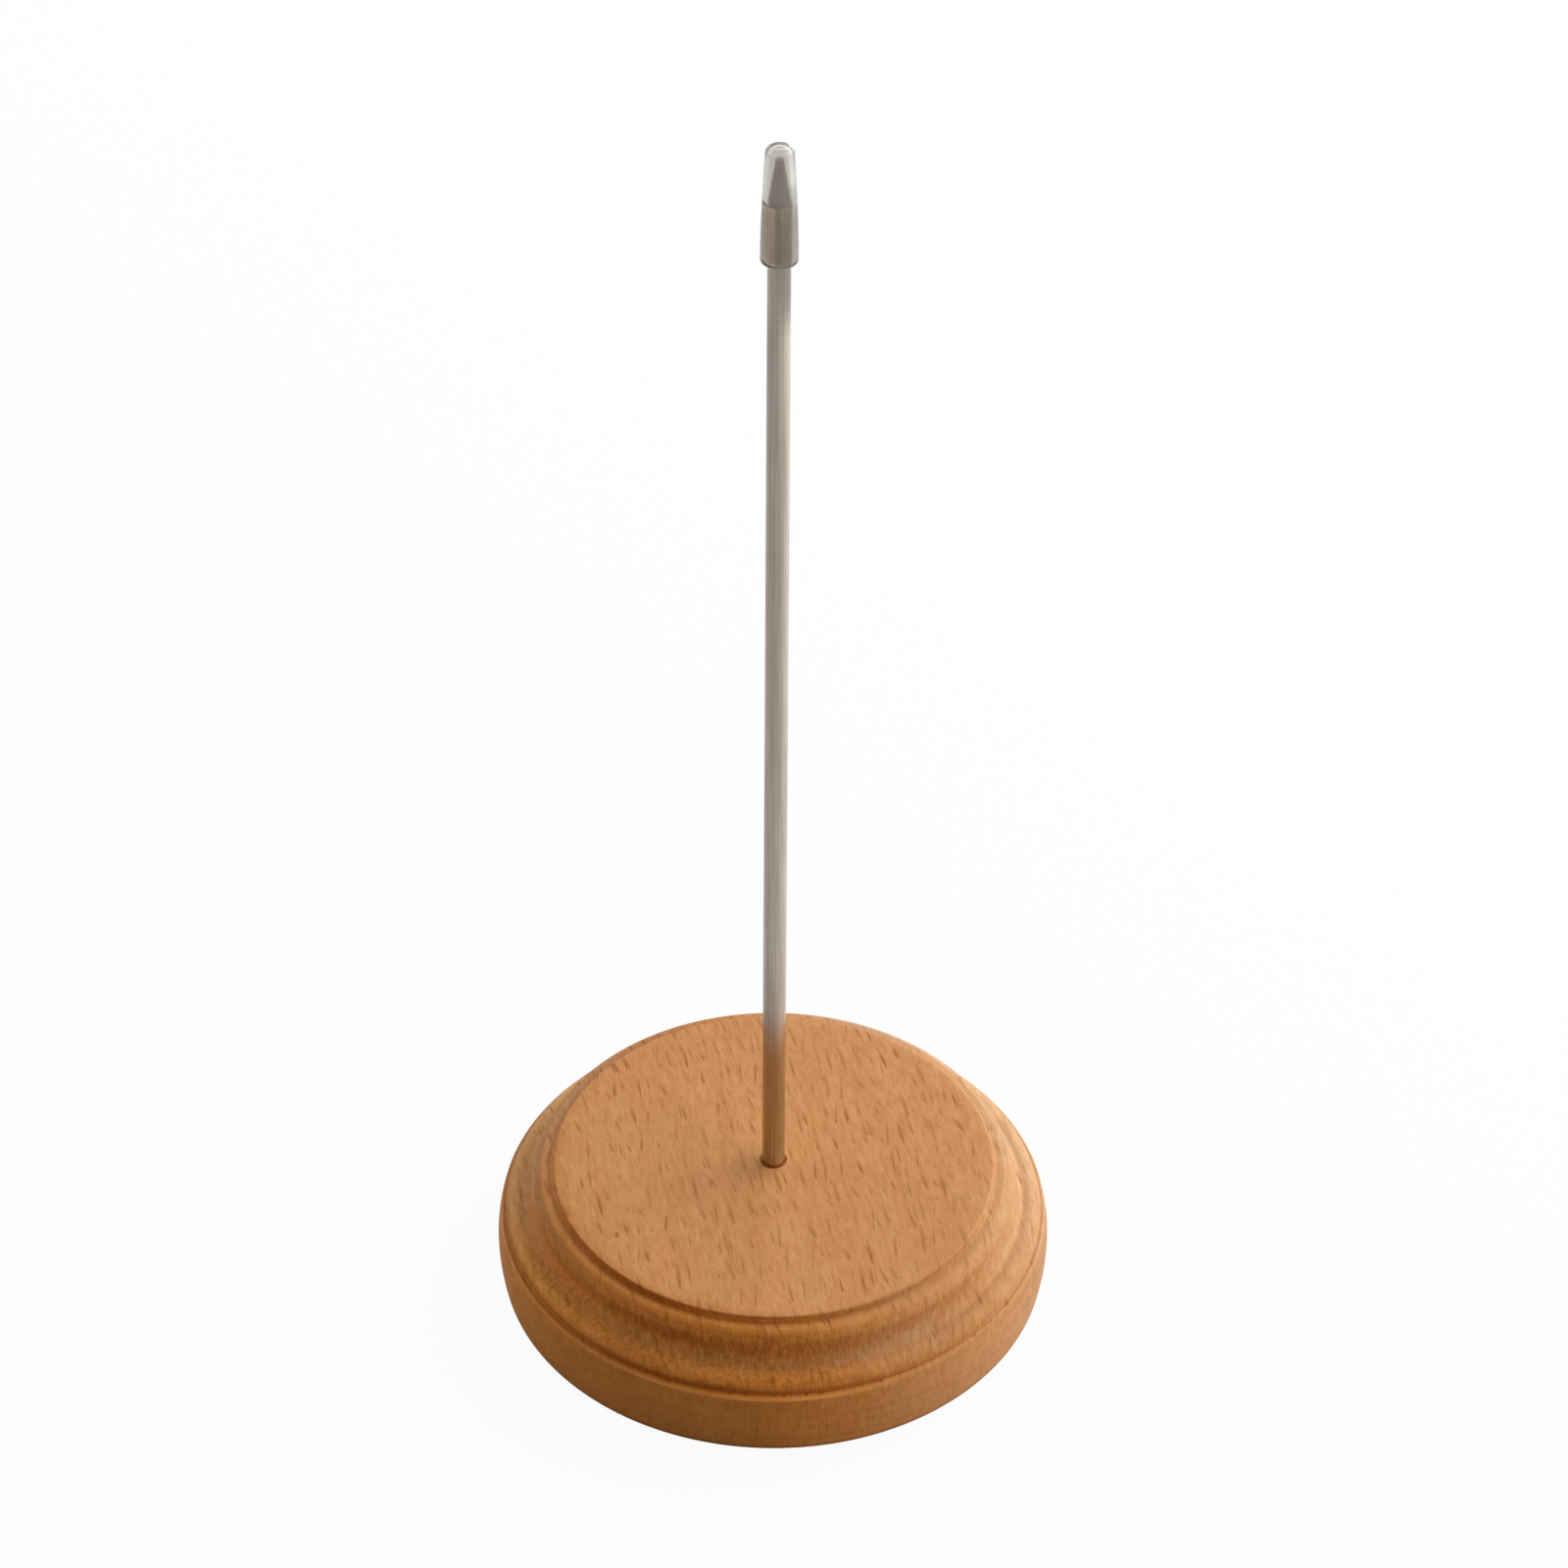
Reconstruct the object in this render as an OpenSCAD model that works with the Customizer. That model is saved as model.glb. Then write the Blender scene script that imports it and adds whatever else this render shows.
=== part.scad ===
// Desk bill spike: a turned beech base, a tapered steel spike screwed into a tee nut
// under the base, a felt pad that closes the underside, and a clear push-on tip cap.
// Millimetres, +Z up along the spike, origin at the middle of the pad's lower face.

/* [Base] */
// Widest diameter of the turned base
base_d = 90; // [74:1:130]
// Height of the wood from its underside to its top disc
base_h = 20; // [18:0.5:32]
// Radius lost between the band's widest line and its foot
band_taper = 0.5; // [0:0.1:2]
// Round on the lower edge of the band
foot_round = 0.4; // [0.2:0.1:2]

/* [Base moulding] */
// Round on the edge of the top disc
disc_edge = 0.4; // [0.1:0.05:0.8]
// Drop from the top disc to the ledge around it
step_h = 1.0; // [0.9:0.1:2]
// How far the step's face leans outwards
step_lean = 0.3; // [0.1:0.05:1]
// Width of the flat ledge
ledge_w = 1.1; // [0.4:0.1:3]
// Width of the upper rounded moulding
ovolo_w = 1.8; // [1:0.1:4]
// Drop of the upper rounded moulding
ovolo_h = 2.5; // [1:0.1:4]
// Width of the hollow below it
cove_w = 2.0; // [1:0.1:5]
// Drop of the hollow
cove_h = 3.2; // [1:0.1:4]
// Width of the lower rounded moulding
bead_w = 2.5; // [1:0.1:4]
// Drop of the lower rounded moulding
bead_h = 1.8; // [1:0.1:4]
// Drop of the sharp line under the lower moulding
quirk_h = 0.3; // [0.1:0.05:0.6]
// Width of the narrow shelf on top of the band
shelf_w = 0.5; // [0.1:0.05:1]
// Round on the band's upper edge
band_edge = 0.3; // [0.1:0.05:0.8]
// Radius gained between the band's upper edge and its widest line
band_draw = 0.7; // [0:0.1:2]
// Drop from the band's upper edge to its widest line
band_crown = 5.0; // [2:0.1:6]

/* [Spike] */
// Height of the tip above the top disc
spike_rise = 179.4; // [120:0.2:240]
// Diameter where the spike leaves the wood
spike_foot_d = 3.7; // [3.3:0.05:3.9]
// Diameter just below the ground point
spike_shoulder_d = 3.25; // [2.6:0.05:3.7]
// Length of the ground point
point_l = 6.7; // [4:0.1:10]
// Diameter of the blunted tip
tip_d = 1.1; // [0.6:0.1:1.8]
// Height of the tip's small dome
tip_dome = 0.35; // [0.1:0.05:0.8]

/* [Screwed foot of the spike] */
// Outside diameter of the rolled thread
thread_d = 4; // [3.9:0.1:5]
// Play around the thread in the drilled hole, on the radius
thread_pass = 0.1; // [0.05:0.05:0.4]
// Play between the thread and the nuts, on the radius
thread_play = 0.03; // [0.02:0.01:0.08]
// Thread left above the tee nut's barrel
thread_runout = 1.0; // [0.5:0.1:3]
// Chamfer on the lower end of the thread
tail_chamfer = 0.4; // [0.2:0.05:0.8]
// Thread that shows below the lock nut
tail_stub = 0.8; // [0.3:0.1:2]
// Room between the end of the thread and the felt
tail_gap = 0.8; // [0.3:0.1:2]
// Small break on the edge of the hole in the top disc
hole_break = 0.15; // [0.05:0.05:0.5]

/* [Tee nut] */
// Diameter of the flange
flange_d = 15; // [13:0.5:20]
// Thickness of the flange
flange_t = 1.2; // [0.8:0.1:2]
// Outside diameter of the barrel
barrel_d = 5.6; // [5.2:0.1:7]
// Length of the barrel above the flange
barrel_l = 7; // [4:0.5:9]
// Number of prongs
prong_n = 3; // [3:1:4]
// Width of a prong at its root
prong_w = 2.4; // [1.5:0.1:3]
// Thickness of a prong
prong_t = 1.0; // [0.6:0.1:1.4]
// Height of a prong above the flange
prong_l = 4.5; // [2:0.1:6]
// Distance from a prong's outer face to the flange's rim
prong_inset = 0.6; // [0.3:0.1:1.2]
// Gap left beside a prong where it was cut out of the flange
prong_slit = 0.3; // [0.1:0.05:0.6]
// Play around the barrel and the prongs in the wood
wood_play = 0.1; // [0.05:0.05:0.3]
// Play around the flange in the recess, on the radius
recess_play = 0.6; // [0.3:0.1:2]

/* [Lock nut] */
// Width across the flats
nut_af = 7; // [6:0.1:8]
// Height of the thin nut
nut_h = 2.2; // [1.6:0.1:3.4]
// Height of the chamfer on the nut's corners
nut_chamfer = 0.35; // [0.1:0.05:0.6]

/* [Felt pad] */
// Thickness of the felt
pad_t = 1.5; // [1:0.1:4]
// Wood that shows around the felt
pad_inset = 4; // [2:0.5:10]

/* [Tip cap] */
// Length of the cap
cap_l = 17.2; // [12:0.1:26]
// Wall at the mouth
cap_wall = 0.95; // [0.6:0.05:1.6]
// Wall beside the closed end of the bore
cap_end_wall = 0.78; // [0.5:0.02:1.2]
// Thickness of the closed end
cap_end_t = 0.5; // [0.4:0.1:2]
// Round on the closed end
cap_end_round = 0.9; // [0.4:0.1:1.2]
// Round on the outer edge of the mouth
mouth_round = 0.6; // [0.2:0.05:0.9]
// How late the cap's sides draw in, where 1 is a straight cone
cap_draw = 1.6; // [1:0.1:3]
// Play between the cap and the spike, on the radius
cap_play = 0.05; // [0.02:0.01:0.1]
// Room beside the tip at the end of the bore, on the radius
cap_tip_room = 0.65; // [0.3:0.05:0.9]
// Room between the tip and the end of the bore
cap_tip_gap = 1.0; // [0.1:0.1:1.5]
// Chamfer inside the mouth
mouth_lead = 0.25; // [0.05:0.05:0.3]

/* [Hidden] */
$fn = 96;
arc_steps = 12;
eps = 0.01;

// Heights of the base
base_z = pad_t;
base_top = base_z + base_h;
ledge_z = base_top - step_h;
cove_z = ledge_z - ovolo_h;
bead_z = cove_z - cove_h;
quirk_top_z = bead_z - bead_h;
quirk_z = quirk_top_z - quirk_h;
band_top = quirk_z - band_edge;
widest_z = band_top - band_crown;
band_foot = base_z + foot_round;

// Radii of the base, from its widest line inwards
base_r = base_d / 2;
band_foot_r = base_r - band_taper;
band_shelf_r = base_r - band_draw - band_edge;
bead_out_r = band_shelf_r - shelf_w;
bead_r = bead_out_r - bead_w;
cove_r = bead_r - cove_w;
ovolo_r = cove_r - ovolo_w;
ledge_r = ovolo_r - ledge_w;
disc_r = ledge_r - step_lean;

// Heights and radii of the screwed foot
recess_l = flange_t + nut_h + tail_stub + tail_gap;
seat_z = base_z + recess_l;
flange_z = seat_z - flange_t;
nut_z = flange_z - nut_h;
tail_z = nut_z - tail_stub;
barrel_top = seat_z + barrel_l;
thread_top = barrel_top + thread_runout;
thread_r = thread_d / 2;
nut_bore_r = thread_r + thread_play;
hole_r = thread_r + thread_pass;
prong_r = flange_d / 2 - prong_inset - prong_t;

// Heights and radii of the spike
foot_r = spike_foot_d / 2;
shoulder_r = spike_shoulder_d / 2;
tip_r = tip_d / 2;
tip_z = base_top + spike_rise;
shoulder_z = tip_z - point_l;

// Radius of the spike's long taper at a height
function taper_r(z) = foot_r + (shoulder_r - foot_r) * (z - base_top) / (shoulder_z - base_top);

// Heights and radii of the cap
cap_bore_top = tip_z + cap_tip_gap;
cap_top = cap_bore_top + cap_end_t;
mouth_z = cap_top - cap_l;
mouth_bore_r = taper_r(mouth_z) + cap_play;
mouth_r = mouth_bore_r + cap_wall;
shoulder_bore_r = shoulder_r + cap_play;
end_bore_r = tip_r + cap_tip_room;
cap_end_r = end_bore_r + cap_end_wall;
flank_top = cap_top - cap_end_round;
flank_foot = mouth_z + mouth_round;

// Quarter of an ellipse that leaves a level line, bulges outwards and ends upright
function bulge(r, z, w, h) = [for (i = [1:arc_steps])
    let (a = 90 * i / arc_steps) [r + w * sin(a), z - h * (1 - cos(a))]];

// Quarter of an ellipse that leaves an upright line, curves inwards and ends level
function hollow(r, z, w, h) = [for (i = [1:arc_steps])
    let (a = 90 * i / arc_steps) [r + w * (1 - cos(a)), z - h * sin(a)]];

// Quarter of an ellipse that leaves an upright line and turns under to end level
function turn_under(r, z, w, h) = [for (i = [1:arc_steps])
    let (a = 90 * i / arc_steps) [r - w * (1 - cos(a)), z - h * sin(a)]];

base_outline = concat(
    [[0, base_top], [disc_r - disc_edge, base_top]],
    bulge(disc_r - disc_edge, base_top, disc_edge, disc_edge),
    [[ledge_r, ledge_z], [ovolo_r, ledge_z]],
    bulge(ovolo_r, ledge_z, ovolo_w, ovolo_h),
    hollow(cove_r, cove_z, cove_w, cove_h),
    bulge(bead_r, bead_z, bead_w, bead_h),
    [[bead_out_r, quirk_z], [band_shelf_r, quirk_z]],
    bulge(band_shelf_r, quirk_z, band_edge, band_edge),
    [for (i = [1:arc_steps])
        let (k = 1 - i / arc_steps) [base_r - band_draw * k * k, widest_z + band_crown * k]],
    [for (i = [1:arc_steps])
        let (k = i / arc_steps) [base_r - band_taper * k * k, widest_z - (widest_z - band_foot) * k]],
    turn_under(band_foot_r, band_foot, foot_round, foot_round),
    [[0, base_z]]
);

spike_outline = concat(
    [[0, tail_z], [thread_r - tail_chamfer, tail_z], [thread_r, tail_z + tail_chamfer]],
    [[thread_r, thread_top], [foot_r, thread_top + thread_r - foot_r]],
    [[foot_r, base_top], [shoulder_r, shoulder_z], [tip_r, tip_z - tip_dome]],
    [for (i = [1:arc_steps - 1])
        let (a = 90 * i / arc_steps) [tip_r * cos(a), tip_z - tip_dome * (1 - sin(a))]],
    [[0, tip_z]]
);

cap_outline = concat(
    [[0, cap_top], [cap_end_r - cap_end_round, cap_top]],
    bulge(cap_end_r - cap_end_round, cap_top, cap_end_round, cap_end_round),
    [for (i = [1:arc_steps])
        let (t = 1 - i / arc_steps)
            [mouth_r - (mouth_r - cap_end_r) * pow(t, cap_draw), flank_foot + (flank_top - flank_foot) * t]],
    turn_under(mouth_r, flank_foot, mouth_round, mouth_round),
    [[mouth_bore_r + mouth_lead, mouth_z], [taper_r(mouth_z + mouth_lead) + cap_play, mouth_z + mouth_lead]],
    [[shoulder_bore_r, shoulder_z], [end_bore_r, cap_bore_top], [0, cap_bore_top]]
);

// Pointed tongue that stands on the flange, larger all round by the play given
module prong(play) {
    translate([prong_r - play, 0, seat_z - eps])
        rotate([90, 0, 90])
            linear_extrude(prong_t + 2 * play)
                polygon([
                    [-prong_w / 2 - play, 0], [prong_w / 2 + play, 0],
                    [prong_w / 2 + play, prong_l / 2], [0, prong_l + play],
                    [-prong_w / 2 - play, prong_l / 2]
                ]);
}

module prongs(play) {
    for (i = [0:prong_n - 1])
        rotate([0, 0, 360 * i / prong_n])
            prong(play);
}

// Turned beech block with the spike's hole and the tee nut's seat
module base() {
    color([0.75, 0.53, 0.33])
        difference() {
            rotate_extrude() polygon(base_outline);
            translate([0, 0, base_z]) cylinder(r = hole_r, h = base_h + 1);
            translate([0, 0, base_top - hole_break])
                cylinder(r1 = hole_r, r2 = hole_r + 2 * hole_break, h = 2 * hole_break);
            translate([0, 0, base_z])
                cylinder(d = barrel_d + 2 * wood_play, h = recess_l + barrel_l + wood_play);
            translate([0, 0, base_z - 1])
                cylinder(d = flange_d + 2 * recess_play, h = recess_l + 1);
            prongs(wood_play);
        }
}

// Steel spike: threaded tail, long taper and ground point
module spike() {
    color([0.62, 0.6, 0.58])
        rotate_extrude() polygon(spike_outline);
}

// Tee nut driven up into the recess, its flange against the wood
module tee_nut() {
    color([0.72, 0.73, 0.75])
        union() {
            difference() {
                union() {
                    translate([0, 0, flange_z]) cylinder(d = flange_d, h = flange_t);
                    translate([0, 0, seat_z - eps]) cylinder(d = barrel_d, h = barrel_l + eps);
                }
                translate([0, 0, flange_z - 1]) cylinder(r = nut_bore_r, h = flange_t + barrel_l + 2);
                for (i = [0:prong_n - 1])
                    rotate([0, 0, 360 * i / prong_n])
                        translate([prong_r + prong_t, -prong_w / 2 - prong_slit, flange_z - 1])
                            cube([flange_d, prong_w + 2 * prong_slit, flange_t + 2]);
            }
            prongs(0);
        }
}

// Thin hexagon nut that locks the thread against the tee nut
module lock_nut() {
    corner_r = nut_af / 2 / cos(30);
    flat_r = nut_af / 2 - eps;
    color([0.7, 0.71, 0.73])
        difference() {
            intersection() {
                translate([0, 0, nut_z]) cylinder(r = corner_r, h = nut_h, $fn = 6);
                rotate_extrude()
                    polygon([
                        [0, nut_z], [flat_r, nut_z], [corner_r, nut_z + nut_chamfer],
                        [corner_r, flange_z - nut_chamfer], [flat_r, flange_z], [0, flange_z]
                    ]);
            }
            translate([0, 0, nut_z - 1]) cylinder(r = nut_bore_r, h = nut_h + 2);
        }
}

// Felt disc glued over the recess
module felt_pad() {
    color([0.13, 0.29, 0.2])
        cylinder(r = band_foot_r - foot_round - pad_inset, h = pad_t);
}

// Clear plastic cap pushed over the point
module tip_cap() {
    color([0.86, 0.87, 0.86, 0.45])
        rotate_extrude() polygon(cap_outline);
}

base();
spike();
tee_nut();
lock_nut();
felt_pad();
tip_cap();
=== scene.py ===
import math

import bmesh
import bpy
from mathutils import Matrix, Vector, noise


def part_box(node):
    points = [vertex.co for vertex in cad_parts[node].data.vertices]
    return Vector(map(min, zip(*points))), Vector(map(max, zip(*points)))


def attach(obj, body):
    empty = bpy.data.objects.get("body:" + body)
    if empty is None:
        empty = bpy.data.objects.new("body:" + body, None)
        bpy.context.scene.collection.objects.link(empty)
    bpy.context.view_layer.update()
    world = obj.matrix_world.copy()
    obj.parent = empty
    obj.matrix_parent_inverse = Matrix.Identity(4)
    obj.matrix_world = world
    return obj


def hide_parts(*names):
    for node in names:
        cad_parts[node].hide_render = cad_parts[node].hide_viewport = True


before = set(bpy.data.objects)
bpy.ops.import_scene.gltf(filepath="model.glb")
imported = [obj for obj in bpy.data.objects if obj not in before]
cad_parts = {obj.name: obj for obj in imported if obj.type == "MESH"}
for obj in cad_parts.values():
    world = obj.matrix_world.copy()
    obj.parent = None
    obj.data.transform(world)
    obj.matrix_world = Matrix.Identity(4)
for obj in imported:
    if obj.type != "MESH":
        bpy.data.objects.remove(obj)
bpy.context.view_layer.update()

MM = 0.001

# Places taken from the frame, in metres
BASE_LOW, BASE_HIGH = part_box("base")
SPIKE_LOW, SPIKE_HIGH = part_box("spike")
CAP_LOW, CAP_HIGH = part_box("tip_cap")
PAD_LOW, PAD_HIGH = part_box("felt_pad")
BASE_R = BASE_HIGH.x
BASE_Z = BASE_LOW.z
BASE_TOP = BASE_HIGH.z
TAIL_Z = SPIKE_LOW.z
TIP_Z = SPIKE_HIGH.z
CAP_TOP = CAP_HIGH.z
MOUTH_Z = CAP_LOW.z
PAD_R = PAD_HIGH.x
PAD_Z = PAD_LOW.z
PAD_TOP = PAD_HIGH.z

# Moulding of the base, as in the solid, with small fillets in its corners
BAND_TAPER = 0.5 * MM
FOOT_ROUND = 0.4 * MM
DISC_EDGE = 0.4 * MM
STEP_H = 1.0 * MM
STEP_LEAN = 0.3 * MM
LEDGE_W = 1.1 * MM
OVOLO_W = 1.8 * MM
OVOLO_H = 2.5 * MM
COVE_W = 2.0 * MM
COVE_H = 3.2 * MM
BEAD_W = 2.5 * MM
BEAD_H = 1.8 * MM
QUIRK_H = 0.3 * MM
SHELF_W = 0.5 * MM
BAND_EDGE = 0.3 * MM
BAND_DRAW = 0.7 * MM
BAND_CROWN = 5.0 * MM
FILLET = 0.25 * MM
FILLET_INSET = 0.3 * FILLET

# Heights of the moulding, downwards
LEDGE_Z = BASE_TOP - STEP_H
COVE_Z = LEDGE_Z - OVOLO_H
BEAD_Z = COVE_Z - COVE_H
QUIRK_Z = BEAD_Z - BEAD_H - QUIRK_H
BAND_TOP = QUIRK_Z - BAND_EDGE
WIDEST_Z = BAND_TOP - BAND_CROWN

# Radii of the moulding, from the widest line inwards
SHELF_R = BASE_R - BAND_DRAW - BAND_EDGE
BEAD_OUT_R = SHELF_R - SHELF_W
BEAD_R = BEAD_OUT_R - BEAD_W
COVE_R = BEAD_R - COVE_W
OVOLO_R = COVE_R - OVOLO_W
LEDGE_R = OVOLO_R - LEDGE_W
DISC_R = LEDGE_R - STEP_LEAN

# Hole in the top disc and the seats under the base
HOLE_R = 2.1 * MM
HOLE_BREAK = 0.15 * MM
RECESS_R = 8.1 * MM
RECESS_L = 5.0 * MM
BARREL_R = 2.9 * MM
BARREL_L = 7.1 * MM

# Finish that has gathered in the gap between the hole and the spike
WAX_DEPTH = 0.25 * MM
WAX_T = 0.5 * MM
WAX_GAP = 0.01 * MM

# Spike
FOOT_R = 1.85 * MM
SHOULDER_R = 1.625 * MM
POINT_L = 6.7 * MM
TIP_R = 0.55 * MM
TIP_DOME = 0.35 * MM
THREAD_R = 2.0 * MM
THREAD_L = 12.2 * MM
TAIL_CHAMFER = 0.4 * MM
SHOULDER_Z = TIP_Z - POINT_L
SHOULDER_EASE = 0.2 * MM

# Tip cap, whose bore stands a little aside so that it touches the spike on the left only
CAP_END_R = 1.98 * MM
CAP_END_ROUND = 0.9 * MM
CAP_END_T = 0.5 * MM
CAP_MOUTH_ROUND = 0.6 * MM
CAP_DRAW = 1.6
CAP_PLAY = 0.05 * MM
CAP_GRIP = 0.02 * MM
CAP_ASIDE = 0.08 * MM
CAP_END_BORE_R = 1.2 * MM
CAP_BORE_DOME = 0.6 * MM
CAP_LEAD = 0.25 * MM
CAP_MOUTH_R = CAP_HIGH.x

# Felt pad and its furry edge
PAD_EDGE = 0.35 * MM
FUR_WIDTH = 3.0 * MM
FUR_DEPTH = 0.12 * MM
FUR_TUFTS = 38
FUR_DRAW = 8

# Fineness of the turned meshes: steps round the axis, longest stretch of outline, sharp edges
WOOD_STEPS = 240
ROD_STEPS = 96
PAD_STEPS = 360
ARC_STEPS = 14
WOOD_STRETCH = 1.2 * MM
SPIKE_STRETCH = 2.0 * MM
CAP_STRETCH = 0.6 * MM
PAD_STRETCH = 2.5 * MM
SOFT_CREASE = math.radians(32)
HARD_CREASE = math.radians(40)
ON_AXIS = 1e-9

# Direction of the wood's grain on the top, from the back left to the front right
GRAIN_TURN = math.radians(-77.5)
GRAIN_SWAY = 3.0 * MM
SPINDLE_LEAN = 0.26
SPINDLE_SCATTER = 0.85

# Camera, worked out from the outline of the base and the spike in the picture
PICTURE_PX = 1600
FOCAL_PX = 3662.9
SENSOR_MM = 36.0
CAMERA_ELEVATION = math.radians(42.715)
CAMERA_DISTANCE = 0.585
CAMERA_ROLL = math.radians(0.47)
CAMERA_NEAR = 0.01
DISC_CENTRE_PX = (789.2, 1182.8)

# Studio: a lamp has a name, a place, a size in metres and its watts
WHITE = (1.0, 1.0, 1.0, 1.0)
AMBIENT = 0.03
FLOOR_REACH = 3.0
FLOOR_GREY = (0.72, 0.72, 0.72, 1.0)
FLOOR_GLOW = 0.95
FLOOR_GLOSS = 0.12
FLOOR_GLOSS_NEAR = 0.4
FLOOR_GLOSS_FAR = 0.8
LAMP_AIM = (0, 0, 0.22)
LAMPS = (
    ("right", (1.0, 0.0, 0.57), (1.6, 1.14), 13.8),
    ("right_back", (0.7, 0.8, 0.58), (1.6, 1.16), 21.6),
    ("left_back", (-0.75, 0.7, 0.61), (1.6, 1.22), 6.0),
    ("left", (-1.0, 0.0, 0.61), (1.6, 1.22), 3.4),
)


# Outlines of (radius, height) and the lathe that turns them

def arc_points(r, z, w, h, kind):
    """Quarter ellipse after its start: out_down bulges, in_down is a hollow, under turns in below."""
    points = []
    for i in range(1, ARC_STEPS + 1):
        a = math.pi / 2 * i / ARC_STEPS
        if kind == "out_down":
            points.append((r + w * math.sin(a), z - h * (1 - math.cos(a))))
        elif kind == "in_down":
            points.append((r + w * (1 - math.cos(a)), z - h * math.sin(a)))
        else:
            points.append((r - w * (1 - math.cos(a)), z - h * math.sin(a)))
    return points


def dome_points(r, top, rise):
    """Rounded end after its start, from a radius up to the axis."""
    points = []
    for i in range(1, ARC_STEPS):
        a = math.pi / 2 * i / ARC_STEPS
        points.append((r * math.cos(a), top - rise * (1 - math.sin(a))))
    points.append((0, top))
    return points


def split_long(points, longest, closed):
    """The same outline with no stretch longer than longest."""
    out = []
    last = len(points) if closed else len(points) - 1
    for i in range(last):
        (r0, z0), (r1, z1) = points[i], points[(i + 1) % len(points)]
        parts = max(1, math.ceil(math.hypot(r1 - r0, z1 - z0) / longest))
        out += [(r0 + (r1 - r0) * k / parts, z0 + (z1 - z0) * k / parts) for k in range(parts)]
    if not closed:
        out.append(points[-1])
    return out


def lathe(name, outline, closed, steps, crease, shape=None):
    """Turns an outline about Z. shape(r, z, angle) may move a point a little."""
    bm = bmesh.new()
    rings = []
    for r, z in outline:
        if r < ON_AXIS:
            rings.append([bm.verts.new((0, 0, z))])
            continue
        ring = []
        for k in range(steps):
            a = 2 * math.pi * k / steps
            rr, zz = shape(r, z, a) if shape else (r, z)
            ring.append(bm.verts.new((rr * math.cos(a), rr * math.sin(a), zz)))
        rings.append(ring)
    pairs = list(zip(rings, rings[1:]))
    if closed:
        pairs.append((rings[-1], rings[0]))
    for low, high in pairs:
        for k in range(steps):
            n = (k + 1) % steps
            if len(low) == 1:
                bm.faces.new((low[0], high[k], high[n]))
            elif len(high) == 1:
                bm.faces.new((low[k], high[0], low[n]))
            else:
                bm.faces.new((low[k], high[k], high[n], low[n]))
    bmesh.ops.recalc_face_normals(bm, faces=bm.faces)
    for f in bm.faces:
        f.smooth = True
    for e in bm.edges:
        e.smooth = e.calc_face_angle(0) < crease
    return make_object(name, bm)


def make_object(name, bm):
    """Turns finished mesh work into an object in the scene."""
    mesh = bpy.data.meshes.new(name)
    bm.to_mesh(mesh)
    bm.free()
    piece = bpy.data.objects.new(name, mesh)
    bpy.context.scene.collection.objects.link(piece)
    return piece


# Node helpers

class Nodes:
    """Adds nodes to a tree in a few words a line."""

    def __init__(self, tree):
        self.tree = tree

    def add(self, kind, inputs=None, **settings):
        node = self.tree.nodes.new(kind)
        for key, value in settings.items():
            setattr(node, key, value)
        for key, value in (inputs or {}).items():
            self.put(node.inputs[key], value)
        return node

    def put(self, socket, value):
        if isinstance(value, bpy.types.NodeSocket):
            self.tree.links.new(value, socket)
        else:
            socket.default_value = value

    def math(self, operation, a, b=0.0):
        return self.add("ShaderNodeMath", {0: a, 1: b}, operation=operation).outputs[0]

    def times(self, first, *others):
        """Product of all the values."""
        for other in others:
            first = self.math("MULTIPLY", first, other)
        return first


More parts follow.
